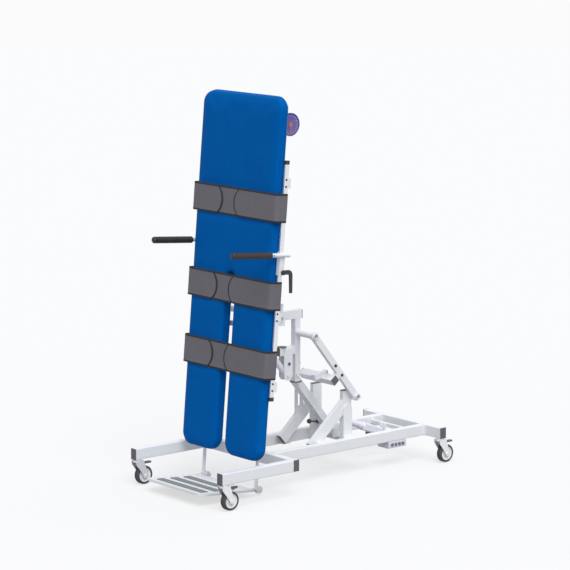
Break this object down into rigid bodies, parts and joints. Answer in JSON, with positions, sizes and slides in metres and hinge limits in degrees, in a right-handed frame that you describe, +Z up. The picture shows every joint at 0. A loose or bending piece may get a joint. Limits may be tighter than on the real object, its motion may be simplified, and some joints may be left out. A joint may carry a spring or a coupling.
{
  "type": "split leg tilt table",
  "caption": "Medical tilt table with split leg pads, straps, hand grips and footplate, shown upright on a linkage lift over a castor base.",
  "frame": {"origin": "middle of the bounding box at floor level, under the wheels", "axes": "+Z up, -Y towards the side the patient faces, +X towards the side seen at the right of the picture"},
  "size_m": [0.79, 1.7166, 2.0933],
  "materials": {
    "white_enamel": "white powder coat, semi-gloss",
    "black_plastic": "matt black moulded plastic",
    "lavender_housing": "pale lavender moulded plastic",
    "zinc_plate": "bright zinc plate",
    "white_board": "white laminated board",
    "blue_vinyl": "satin blue upholstery vinyl over foam",
    "anodised_rail": "anodised aluminium",
    "grey_webbing": "dark grey woven strap with black bound edges",
    "dial_purple": "dark violet plastic",
    "needle_orange": "orange plastic",
    "footplate_paint": "white painted aluminium",
    "castor_rubber": "black tread on a white core with a grey centre"
  },
  "bodies": {
    "base": {"front_legs": "white_enamel", "cross_members": "white_enamel", "long_rails": "white_enamel", "base_end_caps": "black_plastic", "actuator_crossbar": "white_enamel", "lift_columns": "white_enamel", "column_braces": "white_enamel", "base_pivots": "white_enamel", "control_box": "lavender_housing", "control_sockets": "black_plastic", "castor_seats": "zinc_plate"},
    "upper_link": {"upper_link": "white_enamel", "link_cross_tube": "white_enamel", "link_tube_caps": "black_plastic"},
    "lower_link": {"lower_link": "white_enamel"},
    "post": {"lift_post": "white_enamel", "post_tubes": "white_enamel", "post_caps": "black_plastic", "post_plates": "white_enamel"},
    "lift_actuator": {"lift_act_case": "lavender_housing"},
    "lift_rod": {"lift_act_rod": "zinc_plate"},
    "tilt_actuator": {"tilt_act_case": "lavender_housing"},
    "tilt_rod": {"tilt_act_rod": "zinc_plate"},
    "table": {"side_tubes": "white_enamel", "cross_tubes": "white_enamel", "leg_tubes": "white_enamel", "table_end_caps": "black_plastic", "tilt_yoke": "white_enamel", "boards": "white_board", "trunk_pad": "blue_vinyl", "leg_pad_near": "blue_vinyl", "leg_pad_far": "blue_vinyl", "accessory_rails": "anodised_rail", "rail_brackets": "white_enamel", "strap_bands": "grey_webbing", "strap_flaps": "grey_webbing", "dial_case": "dial_purple"},
    "dial_needle": {"dial_needle": "needle_orange"},
    "foot_slide": {"foot_posts": "zinc_plate"},
    "footplate": {"footplate": "footplate_paint", "grip_strips": "black_plastic"},
    "handle_near": {"handle_near": "white_enamel", "handle_grip_near": "black_plastic"},
    "handle_far": {"handle_far": "white_enamel", "handle_grip_far": "black_plastic"},
    "clamp_lever_near": {"clamp_lever_near": "black_plastic"},
    "clamp_lever_far": {"clamp_lever_far": "black_plastic"},
    "release_lever": {"release_lever": "black_plastic"},
    "castor_front_near": {"castor_fork_front_near": "zinc_plate"},
    "wheel_front_near": {"castor_wheel_front_near": "castor_rubber"},
    "pedal_front_near": {"castor_pedal_front_near": "black_plastic"},
    "castor_front_far": {"castor_fork_front_far": "zinc_plate"},
    "wheel_front_far": {"castor_wheel_front_far": "castor_rubber"},
    "pedal_front_far": {"castor_pedal_front_far": "black_plastic"},
    "castor_rear_near": {"castor_fork_rear_near": "zinc_plate"},
    "wheel_rear_near": {"castor_wheel_rear_near": "castor_rubber"},
    "pedal_rear_near": {"castor_pedal_rear_near": "black_plastic"},
    "castor_rear_far": {"castor_fork_rear_far": "zinc_plate"},
    "wheel_rear_far": {"castor_wheel_rear_far": "castor_rubber"},
    "pedal_rear_far": {"castor_pedal_rear_far": "black_plastic"}
  },
  "joints": [
    {"name": "lift", "type": "hinge", "parent": "base", "child": "upper_link", "pos_m": [0, 0.27535, 0.418], "axis": [1, 0, 0], "range_deg": [0, 48]},
    {"name": "lower_link_swing", "type": "hinge", "parent": "base", "child": "lower_link", "pos_m": [0, 0.27535, 0.19], "axis": [1, 0, 0], "range_deg": [0, 48]},
    {"name": "post_level", "type": "hinge", "parent": "upper_link", "child": "post", "pos_m": [0, -0.01979, 0.78377], "axis": [1, 0, 0], "range_deg": [-48, 0]},
    {"name": "lift_actuator_swing", "type": "hinge", "parent": "base", "child": "lift_actuator", "pos_m": [0, 0.64535, 0.132], "axis": [1, 0, 0], "range_deg": [0, 6.3]},
    {"name": "lift_actuator_stroke", "type": "slide", "parent": "lift_actuator", "child": "lift_rod", "axis": [0, -0.9328, 0.3605], "range_m": [0, 0.0517]},
    {"name": "tilt", "type": "hinge", "parent": "post", "child": "table", "pos_m": [0, -0.34079, 0.93], "axis": [-1, 0, 0], "range_deg": [0, 85]},
    {"name": "tilt_actuator_swing", "type": "hinge", "parent": "post", "child": "tilt_actuator", "pos_m": [0, -0.08965, 0.561], "axis": [1, 0, 0], "range_deg": [0, 1.25]},
    {"name": "tilt_actuator_stroke", "type": "slide", "parent": "tilt_actuator", "child": "tilt_rod", "axis": [0, -0.637, 0.7709], "range_m": [0, 0.0857]},
    {"name": "dial_needle_turn", "type": "hinge", "parent": "table", "child": "dial_needle", "pos_m": [0.249, -0.26511, 1.93973], "axis": [-1, 0, 0], "range_deg": [-85, 0]},
    {"name": "footplate_height", "type": "slide", "parent": "table", "child": "foot_slide", "axis": [0, 0.0872, 0.9962], "range_m": [0, 0.1]},
    {"name": "footplate_fold", "type": "hinge", "parent": "foot_slide", "child": "footplate", "pos_m": [0, -0.46134, 0.02956], "axis": [-1, 0, 0], "range_deg": [0, 20]},
    {"name": "release_lever_lift", "type": "hinge", "parent": "base", "child": "release_lever", "pos_m": [-0.094, 0.22735, 0.243], "axis": [-1, 0, 0], "range_deg": [0, 30]},
    {"name": "handle_slide_near", "type": "slide", "parent": "table", "child": "handle_near", "axis": [0, 0.0872, 0.9962], "range_m": [-0.03, 0.13]},
    {"name": "clamp_lever_turn_near", "type": "hinge", "parent": "handle_near", "child": "clamp_lever_near", "pos_m": [0.359, -0.40572, 1.19314], "axis": [1, 0, 0], "range_deg": [0, 90]},
    {"name": "handle_slide_far", "type": "slide", "parent": "table", "child": "handle_far", "axis": [0, 0.0872, 0.9962], "range_m": [-0.03, 0.13]},
    {"name": "clamp_lever_turn_far", "type": "hinge", "parent": "handle_far", "child": "clamp_lever_far", "pos_m": [-0.359, -0.40572, 1.19314], "axis": [1, 0, 0], "range_deg": [0, 90]},
    {"name": "swivel_front_near", "type": "hinge", "parent": "base", "child": "castor_front_near", "pos_m": [0.368, -0.80765, 0.13], "axis": [0, 0, 1], "continuous": true},
    {"name": "roll_front_near", "type": "hinge", "parent": "castor_front_near", "child": "wheel_front_near", "pos_m": [0.368, -0.77165, 0.05], "axis": [1, 0, 0], "continuous": true},
    {"name": "brake_front_near", "type": "hinge", "parent": "castor_front_near", "child": "pedal_front_near", "pos_m": [0.368, -0.78165, 0.1147], "axis": [-1, 0, 0], "range_deg": [0, 10]},
    {"name": "swivel_front_far", "type": "hinge", "parent": "base", "child": "castor_front_far", "pos_m": [-0.368, -0.80765, 0.13], "axis": [0, 0, 1], "continuous": true},
    {"name": "roll_front_far", "type": "hinge", "parent": "castor_front_far", "child": "wheel_front_far", "pos_m": [-0.368, -0.77165, 0.05], "axis": [1, 0, 0], "continuous": true},
    {"name": "brake_front_far", "type": "hinge", "parent": "castor_front_far", "child": "pedal_front_far", "pos_m": [-0.368, -0.78165, 0.1147], "axis": [-1, 0, 0], "range_deg": [0, 10]},
    {"name": "swivel_rear_near", "type": "hinge", "parent": "base", "child": "castor_rear_near", "pos_m": [0.298, 0.77235, 0.13], "axis": [0, 0, 1], "continuous": true},
    {"name": "roll_rear_near", "type": "hinge", "parent": "castor_rear_near", "child": "wheel_rear_near", "pos_m": [0.298, 0.80835, 0.05], "axis": [1, 0, 0], "continuous": true},
    {"name": "brake_rear_near", "type": "hinge", "parent": "castor_rear_near", "child": "pedal_rear_near", "pos_m": [0.298, 0.79835, 0.1147], "axis": [-1, 0, 0], "range_deg": [0, 10]},
    {"name": "swivel_rear_far", "type": "hinge", "parent": "base", "child": "castor_rear_far", "pos_m": [-0.298, 0.77235, 0.13], "axis": [0, 0, 1], "continuous": true},
    {"name": "roll_rear_far", "type": "hinge", "parent": "castor_rear_far", "child": "wheel_rear_far", "pos_m": [-0.298, 0.80835, 0.05], "axis": [1, 0, 0], "continuous": true},
    {"name": "brake_rear_far", "type": "hinge", "parent": "castor_rear_far", "child": "pedal_rear_far", "pos_m": [-0.298, 0.79835, 0.1147], "axis": [-1, 0, 0], "range_deg": [0, 10]}
  ],
  "couplings": [
    {"joint": "lower_link_swing", "follows": "lift", "ratio": 1},
    {"joint": "post_level", "follows": "lift", "ratio": -1},
    {"joint": "lift_actuator_swing", "follows": "lift", "ratio": 0.13079},
    {"joint": "lift_actuator_stroke", "follows": "lift", "m_per_rad": 0.061436},
    {"joint": "tilt_actuator_swing", "follows": "tilt", "ratio": 0.01444},
    {"joint": "tilt_actuator_stroke", "follows": "tilt", "m_per_rad": 0.057647},
    {"joint": "dial_needle_turn", "follows": "tilt", "ratio": -1}
  ]
}
